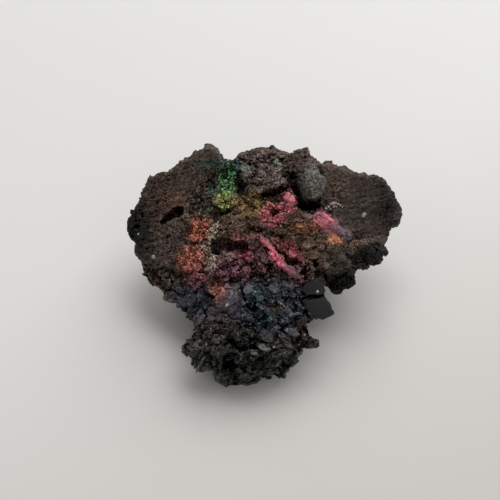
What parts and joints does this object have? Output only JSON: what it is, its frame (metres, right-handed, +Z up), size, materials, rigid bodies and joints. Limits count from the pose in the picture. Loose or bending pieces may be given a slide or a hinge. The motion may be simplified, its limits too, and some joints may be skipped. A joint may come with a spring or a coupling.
{
  "type": "goethite mineral specimen",
  "caption": "Irregular natural goethite specimen, a broken mass with spreading wings, a botryoidal hollow and a blocky foot, which rests on its underside.",
  "frame": {"origin": "centre of the bounding box in plan, at the table the specimen rests on", "axes": "+X across the display face to its right, +Y to the back, +Z up; the display face looks up and to -Y"},
  "size_m": [0.0926, 0.071, 0.0492],
  "materials": {
    "goethite": "dull dark brown to blue-black broken goethite with an iridescent film in its hollow"
  },
  "bodies": {
    "root": {"goethite_specimen": "goethite"}
  },
  "joints": []
}
